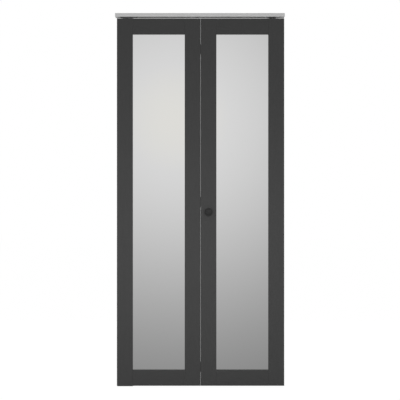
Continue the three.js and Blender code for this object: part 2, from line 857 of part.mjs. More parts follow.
// Pivot panel: the left one, which turns on the two pivot pins
function buildPivotPanel() {
  const side = -1;
  const panel = new THREE.Group();
  panel.position.set(door_shift + side * panel_offset, 0, door_bottom);
  const outer_cutters = [
    sleeveBore(),
    cylinderBetween(
      insert_flange_radius + insert_flange_clearance, -cut_overrun, insert_seat - door_bottom),
    cylinderBetween(insert_radius + seat_gap, -cut_overrun, insert_top + seat_gap - door_bottom),
  ].map((cutter) => cutter.translate(side * bore_offset, 0, 0));
  addPanel(panel, 'pivot', side, outer_cutters, hingeScrewCutters(side));
  addLeaves(panel, 'pivot', side, [0, 2]);
  for (const [place, height] of Object.entries(hinge_heights)) {
    addPiece(panel, `hinge_pin_${place}`, hingePinGeometry(), dark_steel,
      [-side * panel_offset, fold_axis_y, height]);
  }
  const pivot_panel_x = side * (panel_width / 2 - pivot_inset);
  addPiece(panel, 'top_pivot_sleeve', sleeveGeometry(), black_nylon, [pivot_panel_x, 0, panel_height]);
  addPiece(panel, 'top_pivot_spring', springGeometry(), zinc_steel, [pivot_panel_x, 0, panel_height]);
  addPiece(panel, 'top_pivot_pin',
    sprungPinGeometry(track_clearance - bracket_drop + bracket_pin_engagement),
    zinc_steel, [pivot_panel_x, 0, panel_height]);
  addPiece(panel, 'bottom_pivot_insert', insertGeometry(), black_nylon, [pivot_panel_x, 0, -door_bottom]);
  addPiece(panel, 'bottom_pivot_nut', nutGeometry(), zinc_steel, [pivot_panel_x, 0, -door_bottom]);
  addPiece(panel, 'bottom_pivot_pin', bottomPinGeometry(), zinc_steel, [pivot_panel_x, 0, -door_bottom]);
  return panel;
}

// Lead panel: the right one, which carries the knob and follows the guide in the track
function buildLeadPanel() {
  const side = 1;
  const panel = new THREE.Group();
  panel.position.set(door_shift + side * panel_offset, 0, door_bottom);
  const outer_cutters = [sleeveBore().translate(side * bore_offset, 0, 0)];
  addPanel(panel, 'lead', side, outer_cutters, [...hingeScrewCutters(side), ...knobCutters()]);
  addLeaves(panel, 'lead', side, [1]);
  const guide_panel_x = side * (panel_width / 2 - pivot_inset);
  addPiece(panel, 'guide_sleeve', sleeveGeometry(), black_nylon, [guide_panel_x, 0, panel_height]);
  addPiece(panel, 'guide_spring', springGeometry(), zinc_steel, [guide_panel_x, 0, panel_height]);
  addPiece(panel, 'guide_pin', sprungPinGeometry(shoe_bottom + shoe_height - shoe_roof - seat_gap),
    zinc_steel, [guide_panel_x, 0, panel_height]);
  addPiece(panel, 'guide_shoe', shoeGeometry(), black_nylon, [guide_panel_x, 0, panel_height]);
  const knob_x = -side * (panel_width - stile_width) / 2;
  const rose_back = -half_thickness - seat_gap;
  addPiece(panel, 'knob_rose', facingRoom(roseGeometry()), black_satin, [knob_x, rose_back, knob_height]);
  addPiece(panel, 'knob', facingRoom(knobGeometry()), black_satin,
    [knob_x, rose_back - rose_thickness - seat_gap, knob_height]);
  const bolt_back = half_thickness - bolt_head_clearance;
  addPiece(panel, 'knob_bolt', knobBoltGeometry(), zinc_steel, [knob_x, bolt_back, knob_height]);
  return panel;
}

const door = new THREE.Group();
door.position.y = door_plane_y;
door.add(buildFixedParts(), buildPivotPanel(), buildLeadPanel());

export default door;
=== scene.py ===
"""Looks of a mirrored bifold closet door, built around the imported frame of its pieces.

Lengths are metres in the frame's own axes: X along the track, the room towards -Y, Z up.
"""

import json
import logging
import math
from collections.abc import Sequence
from dataclasses import dataclass
from enum import Enum, StrEnum
from typing import Protocol

import bmesh
import bpy
from mathutils import Matrix, Vector

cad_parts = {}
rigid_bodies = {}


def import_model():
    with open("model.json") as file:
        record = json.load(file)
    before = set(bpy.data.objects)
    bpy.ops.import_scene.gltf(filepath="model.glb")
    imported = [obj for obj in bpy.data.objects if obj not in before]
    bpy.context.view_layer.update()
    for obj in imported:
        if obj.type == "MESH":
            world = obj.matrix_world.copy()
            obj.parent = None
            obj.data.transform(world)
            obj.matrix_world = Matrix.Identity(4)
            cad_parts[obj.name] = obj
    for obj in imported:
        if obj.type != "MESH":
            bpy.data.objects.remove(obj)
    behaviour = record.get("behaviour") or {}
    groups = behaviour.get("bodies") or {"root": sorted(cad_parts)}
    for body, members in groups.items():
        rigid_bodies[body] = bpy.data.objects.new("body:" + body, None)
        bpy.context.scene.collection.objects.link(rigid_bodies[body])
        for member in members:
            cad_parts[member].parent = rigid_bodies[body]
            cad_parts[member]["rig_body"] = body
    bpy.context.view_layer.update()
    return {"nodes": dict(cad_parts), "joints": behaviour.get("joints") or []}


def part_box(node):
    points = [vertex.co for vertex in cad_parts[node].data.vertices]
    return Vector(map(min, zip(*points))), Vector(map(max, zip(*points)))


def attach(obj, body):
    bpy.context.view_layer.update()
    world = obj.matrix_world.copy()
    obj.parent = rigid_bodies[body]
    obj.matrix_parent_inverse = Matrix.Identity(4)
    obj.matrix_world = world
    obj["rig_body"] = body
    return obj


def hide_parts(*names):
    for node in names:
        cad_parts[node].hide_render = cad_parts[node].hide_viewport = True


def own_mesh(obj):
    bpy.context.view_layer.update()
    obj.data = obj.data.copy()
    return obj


LOG = logging.getLogger("bifold_door")
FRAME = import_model()

MM = 0.001
WELD_DISTANCE = 0.002 * MM
FLAT_ANGLE = math.radians(1)
CORNER_ANGLE = math.radians(50)
SMOOTH_ANGLE = math.radians(32)
QUARTER_TURN = math.pi / 2
FULL_TURN = 2 * math.pi
UPWARD = Vector((0.0, 0.0, 1.0))
ROOMWARD = Vector((0.0, -1.0, 0.0))

# Directions in a spun profile, in degrees from the radial one towards its height
OUTWARD = 0
ONWARD = 90
INWARD = 180
BACKWARD = 270
OUTWARD_AGAIN = 360

NOISE_MIDDLE = 0.5

# Sockets of a Mix node that mixes colours
FIRST_COLOR = 6
SECOND_COLOR = 7
MIXED_COLOR = 2

Color = tuple[float, float, float]
Rgba = tuple[float, float, float, float]
Point = tuple[float, float]
Shape = bmesh.types.BMesh
Edge = bmesh.types.BMEdge


class Axis(Enum):
    """A direction of the frame, by its index."""

    X = 0
    Y = 1
    Z = 2


class Slot(Enum):
    """The record's material slots."""

    LACQUER = "charcoal_frame"
    MIRROR = "mirror_glass"
    BOARD = "hardboard"
    TRACK = "satin_track"
    DARK_STEEL = "dark_steel"
    ZINC = "zinc_steel"
    NYLON = "black_nylon"
    KNOB = "black_satin"


class Ray(Enum):
    """Kinds of light ray, by the name of their socket on a Light Path node."""

    CAMERA = "Is Camera Ray"
    GLOSSY = "Is Glossy Ray"
    TRANSMISSION = "Is Transmission Ray"


class Panel(StrEnum):
    """The two panels, by the word that opens the names of their pieces."""

    PIVOT = "pivot"
    LEAD = "lead"


class Stile(StrEnum):
    """The upright members of a panel, by the word in their names."""

    OUTER = "outer"
    FOLD = "fold"


class Rail(StrEnum):
    """The level members of a panel, by the word in their names."""

    TOP = "top"
    BOTTOM = "bottom"


class Bead(StrEnum):
    """The beads behind a mirror, by the word that ends their names."""

    LEFT = "left"
    RIGHT = "right"
    BOTTOM = "bottom"
    TOP = "top"

    @property
    def axis(self) -> Axis:
        """Returns the direction in which the bead runs."""
        return Axis.Z if self in (Bead.LEFT, Bead.RIGHT) else Axis.X


class HingeHeight(StrEnum):
    """The hinges behind the fold, by the word in the names of their pieces."""

    LOW = "low"
    MIDDLE = "middle"
    HIGH = "high"


class ScrewPlace(StrEnum):
    """The screws of a hinge leaf, by the word that ends their names."""

    LOWER = "lower"
    UPPER = "upper"


@dataclass(frozen=True)
class Signal:
    """One output socket of a shader graph, which can be used in Python sums."""

    graph: "ShaderGraph"
    socket: bpy.types.NodeSocket | None

    def _math(self, operation: str, first: "Term", second: "Term") -> "Signal":
        """Adds one Math node over two values."""
        inputs = {0: first, 1: second}
        return self.graph.node("ShaderNodeMath", {"operation": operation}, inputs)

    def __add__(self, other: "Term") -> "Signal":
        """Adds a number or signal."""
        return self._math("ADD", self, other)

    def __radd__(self, other: float) -> "Signal":
        """Is added to a number."""
        return self._math("ADD", other, self)

    def __sub__(self, other: "Term") -> "Signal":
        """Takes a number or signal away."""
        return self._math("SUBTRACT", self, other)

    def __rsub__(self, other: float) -> "Signal":
        """Is taken away from a number."""
        return self._math("SUBTRACT", other, self)

    def __mul__(self, other: "Term") -> "Signal":
        """Multiplies by a number or signal."""
        return self._math("MULTIPLY", self, other)

    def __rmul__(self, other: float) -> "Signal":
        """Multiplies a number."""
        return self._math("MULTIPLY", other, self)

    def __truediv__(self, other: "Term") -> "Signal":
        """Is divided by a number or signal."""
        return self._math("DIVIDE", self, other)

    def __rtruediv__(self, other: float) -> "Signal":
        """Divides a number."""
        return self._math("DIVIDE", other, self)

    def __pow__(self, other: "Term") -> "Signal":
        """Is raised to a power."""
        return self._math("POWER", self, other)

    def __rpow__(self, other: float) -> "Signal":
        """Is the power that a number is raised to."""
        return self._math("POWER", other, self)

    def clamped(self) -> "Signal":
        """Returns the value kept between 0 and 1."""
        return self.graph.node("ShaderNodeClamp", {}, {0: self})


Term = Signal | float
Tint = Signal | Rgba


class ShaderGraph:
    """Adds nodes to one node tree."""

    def __init__(self, tree: bpy.types.NodeTree) -> None:
        """Empties the node tree of a material or a world."""
        self.tree = tree
        tree.nodes.clear()

    def node(
        self,
        kind: str,
        settings: dict[str, object] | None = None,
        inputs: dict[str | int, object] | None = None,
        output: str | int = 0,
    ) -> Signal:
        """Makes any node.

        Args:
            kind: The node's type.
            settings: Its properties, and under "stops" a ramp's places and colours.
            inputs: Values or signals by the socket's name or number.
            output: The name or number of the socket to return.

        Returns:
            The chosen output socket as a signal.
        """
        made = self.tree.nodes.new(kind)
        for name, value in (settings or {}).items():
            if name == "stops":
                self._set_stops(made.color_ramp, value)
            else:
                setattr(made, name, value)
        for key, value in (inputs or {}).items():
            if isinstance(value, Signal):
                self.tree.links.new(value.socket, made.inputs[key])
            else:
                made.inputs[key].default_value = value
        return Signal(self, made.outputs[output] if made.outputs else None)

    @staticmethod
    def _set_stops(ramp: bpy.types.ColorRamp, stops: Sequence[tuple[float, Rgba]]) -> None:
        """Gives a ramp its colours.

        Args:
            ramp: The ramp, as Blender makes it.
            stops: The place and colour of each stop.
        """
        while len(ramp.elements) < len(stops):
            ramp.elements.new(1.0)
        for element, (place, color) in zip(ramp.elements, stops):
            element.position = place
            element.color = color

    def place(self, stretch: Sequence[float] = (1.0, 1.0, 1.0)) -> Signal:
        """Returns the place on the object.

        Args:
            stretch: The scale of the coordinates along X, Y and Z.

        Returns:
            The object coordinates as a vector.
        """
        found = self.node("ShaderNodeTexCoord", output="Object")
        inputs = {"Vector": found, "Scale": tuple(stretch)}
        return self.node("ShaderNodeMapping", {}, inputs)

    def noise(self, place: Signal, scale: float, detail: float = 2.0) -> Signal:
        """Returns a soft noise between 0 and 1 at a place."""
        inputs = {"Vector": place, "Scale": scale, "Detail": detail}
        return self.node("ShaderNodeTexNoise", {}, inputs, "Fac")

    def blend(self, share: Term, first: Tint, second: Tint) -> Signal:
        """Returns a colour between two colours."""
        inputs = {0: share, FIRST_COLOR: first, SECOND_COLOR: second}
        return self.node("ShaderNodeMix", {"data_type": "RGBA"}, inputs, MIXED_COLOR)

    def bump(self, height: Signal, distance: float, under: Signal | None = None) -> Signal:
        """Returns a normal that a height raises.

        Args:
            height: The height, from 0 to 1.
            distance: How far a height of 1 stands out.
            under: The normal that it is laid over, if there is one.

        Returns:
            The new normal.
        """
        inputs: dict[str | int, object] = {"Height": height, "Distance": distance}
        if under:
            inputs["Normal"] = under
        return self.node("ShaderNodeBump", {}, inputs)

    def ray(self, kind: Ray) -> Signal:
        """Returns 1 for rays of one kind, and 0 for others."""
        return self.node("ShaderNodeLightPath", output=kind.value)


def opaque(color: Color) -> Rgba:
    """Returns a colour with full alpha."""
    return (*color, 1.0)


def gray(level: float) -> Rgba:
    """Returns a neutral colour with full alpha."""
    return opaque((level, level, level))


def shade_of(color: Color, factor: float) -> Rgba:
    """Returns a darker or lighter version of a colour, with full alpha."""
    return opaque(tuple(min(1.0, channel * factor) for channel in color))


def tones_of(color: Color, change: float) -> tuple[Rgba, Rgba]:
    """Returns a colour made darker, and made lighter, by the same share."""
    return shade_of(color, 1 - change), shade_of(color, 1 + change)


def swing(first: Signal, second: Signal, change: float) -> Signal:
    """Returns how far two noises together move a value off its middle."""
    return (first + second - 2 * NOISE_MIDDLE) * change


def stretched_along(axis: Axis, share: float) -> list[float]:
    """Returns scales that draw a pattern out along one axis."""
    return [share if each is axis else 1.0 for each in Axis]


@dataclass(frozen=True)
class Finish:
    """What a surface is made of. Each kind says how its shader's sockets are driven."""

    label: str
    slot: Slot

    def sockets(self, graph: ShaderGraph) -> dict[str, object]:
        """Returns the values and signals of the shader's sockets by name."""
        raise NotImplementedError

    def material(self) -> bpy.types.Material:
        """Makes this finish's material the first time it is asked for.

        Returns:
            The material, which all pieces of this finish share.
        """
        known = bpy.data.materials.get(self.label)
        if known:
            return known
        made = bpy.data.materials.new(self.label)
        made.use_nodes = True
        graph = ShaderGraph(made.node_tree)
        surface = graph.node("ShaderNodeBsdfPrincipled", {}, self.sockets(graph))
        graph.node("ShaderNodeOutputMaterial", {}, {"Surface": surface})
        return made


@dataclass(frozen=True)
class Lacquer(Finish):
    """Sprayed satin lacquer over close-grained wood."""

    color: Color
    grain: Axis
    roughness: float = 0.48
    roughness_change: float = 0.1
    grain_scale: float = 700.0
    grain_detail: float = 4.0
    grain_stretch: float = 0.03
    grain_depth: float = 0.11 * MM
    grain_contrast: float = 3.0
    grain_share: float = 0.7
    mist_scale: float = 2400.0
    mist_depth: float = 0.03 * MM
    tone_scale: float = 3.0
    tone_detail: float = 3.0
    tone_change: float = 0.14

    def sockets(self, graph: ShaderGraph) -> dict[str, object]:
        """Lays faint grain and spray texture over a near even colour.

        Args:
            graph: The material's graph.

        Returns:
            The values and signals of the shader's sockets by name.
        """
        along = graph.place(stretched_along(self.grain, self.grain_stretch))
        grain = graph.noise(along, self.grain_scale, self.grain_detail)
        mist = graph.noise(graph.place(), self.mist_scale)
        tone = graph.noise(graph.place(), self.tone_scale, self.tone_detail)
        figure = ((grain - NOISE_MIDDLE) * self.grain_contrast + NOISE_MIDDLE).clamped()
        share = figure * self.grain_share + tone * (1 - self.grain_share)
        relief = graph.bump(figure, self.grain_depth)
        return {
            "Base Color": graph.blend(share, *tones_of(self.color, self.tone_change)),
            "Roughness": self.roughness + swing(mist, figure, self.roughness_change),
            "Normal": graph.bump(mist, self.mist_depth, relief),
        }


@dataclass(frozen=True)
class Silvering(Finish):
    """Silvered float glass."""

    color: Color
    roughness: float = 0.008
    haze: float = 0.012
    haze_scale: float = 6.0
    haze_detail: float = 4.0
    tint_change: float = 0.006

    def sockets(self, graph: ShaderGraph) -> dict[str, object]:
        """Gives a mirror a trace of haze.

        Args:
            graph: The material's graph.

        Returns:
            The values and signals of the shader's sockets by name.
        """
        haze = graph.noise(graph.place(), self.haze_scale, self.haze_detail)
        duller = shade_of(self.color, 1 - self.tint_change)
        return {
            "Base Color": graph.blend(haze, duller, opaque(self.color)),
            "Metallic": 1.0,
            "Roughness": self.roughness + haze * self.haze,
        }


@dataclass(frozen=True)
class Hardboard(Finish):
    """Bare pressed fibre board."""

    color: Color
    fibre_scale: float = 380.0
    fibre_detail: float = 6.0
    fibre_stretch: float = 0.4
    fibre_share: float = 0.75
    mottle_scale: float = 26.0
    mottle_detail: float = 5.0
    dark_shade: float = 0.62
    dark_place: float = 0.3
    middle_place: float = 0.5
    light_shade: float = 1.3
    light_place: float = 0.7
    roughness: float = 0.76
    roughness_change: float = 0.16
    depth: float = 0.1 * MM

    def sockets(self, graph: ShaderGraph) -> dict[str, object]:
        """Mottles a brown with short fibres.

        Args:
            graph: The material's graph.

        Returns:
            The values and signals of the shader's sockets by name.
        """
        along = graph.place(stretched_along(Axis.Z, self.fibre_stretch))
        fibres = graph.noise(along, self.fibre_scale, self.fibre_detail)
        mottle = graph.noise(graph.place(), self.mottle_scale, self.mottle_detail)
        share = (fibres * self.fibre_share + mottle * (1 - self.fibre_share)).clamped()
        stops = [
            (self.dark_place, shade_of(self.color, self.dark_shade)),
            (self.middle_place, opaque(self.color)),
            (self.light_place, shade_of(self.color, self.light_shade)),
        ]
        return {
            "Base Color": graph.node("ShaderNodeValToRGB", {"stops": stops}, {0: share}),
            "Roughness": self.roughness + fibres * self.roughness_change,
            "Normal": graph.bump(fibres, self.depth),
        }


@dataclass(frozen=True)
class RolledMetal(Finish):
    """Metal with fine lines along one direction."""

    color: Color
    lines: Axis
    metallic: float = 1.0
    roughness: float = 0.36
    roughness_change: float = 0.08
    line_scale: float = 900.0
    line_detail: float = 3.0
    line_stretch: float = 0.01
    line_share: float = 0.7
    smudge_scale: float = 14.0
    smudge_detail: float = 4.0
    tone_change: float = 0.06
    depth: float = 0.008 * MM

    def sockets(self, graph: ShaderGraph) -> dict[str, object]:
        """Lets the colour and gloss of a satin metal vary across its lines.

        Args:
            graph: The material's graph.

        Returns:
            The values and signals of the shader's sockets by name.
        """
        along = graph.place(stretched_along(self.lines, self.line_stretch))
        lines = graph.noise(along, self.line_scale, self.line_detail)
        smudge = graph.noise(graph.place(), self.smudge_scale, self.smudge_detail)
        share = (lines * self.line_share + smudge * (1 - self.line_share)).clamped()
        return {
            "Base Color": graph.blend(share, *tones_of(self.color, self.tone_change)),
            "Metallic": self.metallic,
            "Roughness": self.roughness + swing(lines, smudge, self.roughness_change),
            "Normal": graph.bump(lines, self.depth),
        }


@dataclass(frozen=True)
class Plating(Finish):
    """Zinc plating with its fine mottle."""

    color: Color
    cell_scale: float = 700.0
    cell_share: float = 0.6
    cloud_scale: float = 120.0
    cloud_detail: float = 4.0
    cloud_share: float = 0.5
    dark_shade: float = 0.86
    light_shade: float = 1.1
    roughness: float = 0.26
    roughness_change: float = 0.16

    def sockets(self, graph: ShaderGraph) -> dict[str, object]:
        """Breaks a metal up into small tonal cells.

        Args:
            graph: The material's graph.

        Returns:
            The values and signals of the shader's sockets by name.
        """
        inputs = {"Vector": graph.place(), "Scale": self.cell_scale}
        cells = graph.node("ShaderNodeTexVoronoi", {}, inputs, "Distance")
        cloud = graph.noise(graph.place(), self.cloud_scale, self.cloud_detail)
        share = (cells * self.cell_share + cloud * self.cloud_share).clamped()
        darker = shade_of(self.color, self.dark_shade)
        lighter = shade_of(self.color, self.light_shade)
        return {
            "Base Color": graph.blend(share, darker, lighter),
            "Metallic": 1.0,
            "Roughness": self.roughness + share * self.roughness_change,
        }


@dataclass(frozen=True)
class SatinCoat(Finish):
    """Dark powder coat, or moulded nylon, with a fine grain."""

    color: Color
    metallic: float = 0.0
    roughness: float = 0.42
    roughness_change: float = 0.08
    grain_scale: float = 3000.0
    cloud_scale: float = 90.0
    cloud_detail: float = 4.0
    tone_change: float = 0.14
    depth: float = 0.02 * MM

    def sockets(self, graph: ShaderGraph) -> dict[str, object]:
        """Lets the grain of a dark even coat catch the light.

        Args:
            graph: The material's graph.

        Returns:
            The values and signals of the shader's sockets by name.
        """
        grain = graph.noise(graph.place(), self.grain_scale)
        cloud = graph.noise(graph.place(), self.cloud_scale, self.cloud_detail)
        share = (grain + cloud) / 2.0
        return {
            "Base Color": graph.blend(share, *tones_of(self.color, self.tone_change)),
            "Metallic": self.metallic,
            "Roughness": self.roughness + swing(grain, cloud, self.roughness_change),
            "Normal": graph.bump(grain, self.depth),
        }


CHARCOAL: Color = (0.0413, 0.0413, 0.0413)
UPRIGHT_LACQUER = Lacquer("charcoal_lacquer_upright", Slot.LACQUER, CHARCOAL, Axis.Z)
LEVEL_LACQUER = Lacquer("charcoal_lacquer_level", Slot.LACQUER, CHARCOAL, Axis.X)
LACQUER_ALONG = {Axis.Z: UPRIGHT_LACQUER, Axis.X: LEVEL_LACQUER}
MIRROR = Silvering("silvered_glass", Slot.MIRROR, (0.93, 0.93, 0.93))
BOARD = Hardboard("backing_hardboard", Slot.BOARD, (0.155, 0.098, 0.058))
TRACK_METAL = RolledMetal(
    "track_satin_metal", Slot.TRACK, (0.78, 0.78, 0.78), Axis.X, metallic=0.3
)
DARK_STEEL = SatinCoat(
    "hardware_dark_steel", Slot.DARK_STEEL, (0.035, 0.035, 0.036), metallic=0.6, roughness=0.4
)
# A lighter copy of the dark steel: its raised colour paints in light that the bracket, shaded
# inside the track, doesn't get.
BRACKET_STEEL_PAINTED_LIGHTER = SatinCoat(
    "bracket_steel_painted_lighter", Slot.DARK_STEEL, (0.125, 0.125, 0.127), metallic=0.6, roughness=0.4
)
SCREW_STEEL = SatinCoat(
    "screw_dark_steel", Slot.DARK_STEEL, (0.05, 0.05, 0.052), metallic=0.7, roughness=0.34
)
ZINC = Plating("zinc_plate", Slot.ZINC, (0.55, 0.56, 0.56))
NYLON = SatinCoat("black_nylon", Slot.NYLON, (0.04, 0.04, 0.041), roughness=0.5)
# A lighter copy of the black nylon: its raised colour paints in light that the shoe, shaded
# under the track, doesn't get.
SHOE_NYLON_PAINTED_LIGHTER = SatinCoat("shoe_nylon_painted_lighter", Slot.NYLON, (0.1, 0.1, 0.102), roughness=0.5)
KNOB_BLACK = SatinCoat(
    "knob_satin_black", Slot.KNOB, (0.0185, 0.0185, 0.0185), roughness=0.36
)


@dataclass(frozen=True)
class Rounding:
    """A rounding of corners: its reach, its facets and the shortest edge that gets it."""

    width: float
    segments: int = 2
    least_edge: float = 0.0


def outer_corners(shape: Shape, least_edge: float = 0.0) -> list[Edge]:
    """Finds the outer corners of a shape.

    Args:
        shape: The mesh that is searched.
        least_edge: Corners along edges shorter than this are left out.

    Returns:
        The edges along those corners.
    """
    return [
        edge
        for edge in shape.edges
        if edge.is_manifold
        and edge.is_convex
        and edge.calc_face_angle(0.0) > CORNER_ANGLE
        and edge.calc_length() >= least_edge
    ]


def touching_runs(corners: Sequence[Edge]) -> list[list[Edge]]:
    """Sorts the corners of a shape into runs whose edges touch.

    Args:
        corners: The edges along those corners.

    Returns:
        The edges of each run.
    """
    left = dict.fromkeys(corners)
    runs = []
    while left:
        first = next(iter(left))
        del left[first]
        run = [first]
        for edge in run:
            for vert in edge.verts:
                for near in vert.link_edges:
                    if near in left:
                        del left[near]
                        run.append(near)
        runs.append(run)
    return runs


def lies_along(edge: Edge, axis: Axis) -> bool:
    """Returns whether an edge lies along an axis, to within a degree."""
    way = (edge.verts[1].co - edge.verts[0].co).normalized()
    return abs(way[axis.value]) > math.cos(FLAT_ANGLE)


def ease(shape: Shape, corners: Sequence[Edge], rounding: Rounding) -> None:
    """Rounds corners of a shape, each run by itself, so that a tight one narrows no other.

    Args:
        shape: The mesh that is changed.
        corners: The edges along those corners.
        rounding: How far they are rounded, and in how many facets.
    """
    for run in touching_runs(corners):
        bmesh.ops.bevel(
            shape,
            geom=run,
            offset=rounding.width,
            offset_type="OFFSET",
            segments=rounding.segments,
            profile=0.5,
            affect="EDGES",
            clamp_overlap=True,
            material=-1,
        )
    bmesh.ops.remove_doubles(shape, verts=shape.verts, dist=WELD_DISTANCE)


def merged_copy(node: str) -> Shape:
    """Copies a frame node's mesh and joins its triangles into flat faces.

    Args:
        node: The node's name.

    Returns:
        The joined copy.
    """
    shape = bmesh.new()
    shape.from_mesh(FRAME["nodes"][node].data)
    bmesh.ops.remove_doubles(shape, verts=shape.verts, dist=WELD_DISTANCE)
    bmesh.ops.dissolve_limit(
        shape, angle_limit=FLAT_ANGLE, verts=shape.verts, edges=shape.edges
    )
    return shape


def arc(center: Point, radius: float, start: float, end: float, steps: int = 8) -> list[Point]:
    """Makes a round stretch of a profile.

    Args:
        center: Its middle, as a radius and a height.
        radius: Its own radius.
        start: The direction in which it starts from its middle, in degrees.
        end: The direction in which it ends.
        steps: The facets along it.

    Returns:
        Radius and height points.
    """
    found = []
    for step in range(steps + 1):
        angle = math.radians(start + (end - start) * step / steps)
        outward = center[0] + radius * math.cos(angle)
        height = center[1] + radius * math.sin(angle)
        found.append((outward, height))
    return found


def spun_shape(profile: Sequence[Point], base: Vector, steps: int) -> Shape:
    """Makes a solid of revolution that grows towards the room.

    Args:
        profile: Radius and height points of a line that ends on the axis or closes on itself.
        base: The point of the axis at height 0.
        steps: The facets round the axis.

    Returns:
        The closed shape in the frame's axes.
    """
    shape = bmesh.new()
    points = [shape.verts.new((radius, 0.0, height)) for radius, height in profile]
    line = [shape.edges.new(pair) for pair in zip(points, points[1:])]
    bmesh.ops.spin(
        shape,
        geom=[*points, *line],
        cent=(0, 0, 0),
        axis=UPWARD,
        angle=FULL_TURN,
        steps=steps,
        use_merge=True,
    )
    bmesh.ops.remove_doubles(shape, verts=shape.verts, dist=WELD_DISTANCE)
    turn = UPWARD.rotation_difference(ROOMWARD).to_matrix().to_4x4()
    bmesh.ops.transform(shape, matrix=Matrix.Translation(base) @ turn, verts=shape.verts)
    bmesh.ops.recalc_face_normals(shape, faces=shape.faces)
    return shape


@dataclass(frozen=True)
class Piece:
    """A finished piece: its name, the body it rides on, its finish and what it stands for."""

    name: str
    body: str
    finish: Finish
    stands_for: tuple[str, ...] = ()

    def publish(self, shape: Shape) -> bpy.types.Object:
        """Turns a finished shape into an object of the scene.

        Args:
            shape: The mesh in the frame's axes. It is freed.

        Returns:
            The new object.
        """
        mesh = bpy.data.meshes.new(self.name)
        shape.to_mesh(mesh)
        shape.free()
        mesh.shade_smooth()
        mesh.set_sharp_from_angle(angle=SMOOTH_ANGLE)
        mesh.materials.append(self.finish.material())
        made = bpy.data.objects.new(self.name, mesh)
        bpy.context.scene.collection.objects.link(made)
        level = made.modifiers.new("level_faces", "WEIGHTED_NORMAL")
        level.keep_sharp = True
        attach(made, self.body)
        if self.stands_for:
            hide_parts(*self.stands_for)
        LOG.info("%s rides on %s, %d faces", self.name, self.body, len(mesh.polygons))
        return made


def stand_in(node: str, finish: Finish, shape: Shape) -> bpy.types.Object:
    """Publishes a shape in the place of a frame node, on the node's own body."""
    body = FRAME["nodes"][node]["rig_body"]
    return Piece(f"{node}_finished", body, finish, (node,)).publish(shape)


def refine(node: str, finish: Finish, rounding: Rounding) -> None:
    """Stands a copy with rounded corners in for a frame node.

    Args:
        node: The node's name.
        finish: What the copy is made of.
        rounding: How its corners are rounded.
    """
    shape = merged_copy(node)
    ease(shape, outer_corners(shape, rounding.least_edge), rounding)
    stand_in(node, finish, shape)


class Assembly(Protocol):
    """Anything that the main function builds."""

    def build(self) -> None:
        """Builds all its pieces."""


@dataclass(frozen=True)
class PanelFrame:
    """Stiles, rails, mirror, board and beads of one panel."""

    panel: Panel
    stile_rounding: Rounding = Rounding(0.5 * MM, segments=3, least_edge=8 * MM)
    rail_rounding: Rounding = Rounding(0.25 * MM, least_edge=60 * MM)
    glass_rounding: Rounding = Rounding(0.6 * MM, segments=3)
    board_rounding: Rounding = Rounding(0.4 * MM)
    bead_rounding: Rounding = Rounding(0.5 * MM)
    brad_radius: float = 0.9 * MM
    brad_taper: float = 0.8
    brad_height: float = 0.25 * MM
    brad_sides: int = 12
    brad_spacing: float = 240 * MM
    fewest_brads: int = 2

    def build(self) -> None:
        """Builds every piece of the panel."""
        for stile in Stile:
            refine(f"{self.panel}_{stile}_stile", UPRIGHT_LACQUER, self.stile_rounding)
        for rail in Rail:
            refine(f"{self.panel}_{rail}_rail", LEVEL_LACQUER, self.rail_rounding)
        refine(f"{self.panel}_mirror", MIRROR, self.glass_rounding)
        refine(f"{self.panel}_backing_board", BOARD, self.board_rounding)
        for bead in Bead:
            refine(f"{self.panel}_bead_{bead}", LACQUER_ALONG[bead.axis], self.bead_rounding)
            self._brads(bead)

    def _brads(self, bead: Bead) -> None:
        """Adds the heads of the brads that pin a bead to the frame.

        Args:
            bead: The bead that they pin.
        """
        low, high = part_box(f"{self.panel}_bead_{bead}")
        middle = (low + high) / 2
        along = bead.axis.value
        length = (high - low)[along]
        count = max(self.fewest_brads, round(length / self.brad_spacing))
        row = bmesh.new()
        for index in range(count):
            center = middle.copy()
            center[along] += length * ((index + 0.5) / count - 0.5)
            center.y = high.y
            bmesh.ops.create_cone(
                row,
                cap_ends=True,
                segments=self.brad_sides,
                radius1=self.brad_radius,
                radius2=self.brad_radius * self.brad_taper,
                depth=self.brad_height,
                matrix=Matrix.Translation(center) @ Matrix.Rotation(-QUARTER_TURN, 4, "X"),
            )
        bmesh.ops.recalc_face_normals(row, faces=row.faces)
        Piece(f"{self.panel}_brads_{bead}", f"{self.panel}_panel", ZINC).publish(row)


@dataclass(frozen=True)
class FoldHinges:
    """The three hinges behind the fold, with their pins and screws."""

    pin_rounding: Rounding = Rounding(0.35 * MM)
    leaf_rounding: Rounding = Rounding(0.3 * MM)
    screw_rounding: Rounding = Rounding(0.15 * MM)

    def build(self) -> None:
        """Builds the pins, leaves and screws."""
        for height in HingeHeight:
            refine(f"hinge_pin_{height}", DARK_STEEL, self.pin_rounding)
            for panel in Panel:
                refine(f"{panel}_hinge_leaf_{height}", DARK_STEEL, self.leaf_rounding)
                for place in ScrewPlace:
                    node = f"{panel}_hinge_screw_{height}_{place}"
                    refine(node, SCREW_STEEL, self.screw_rounding)


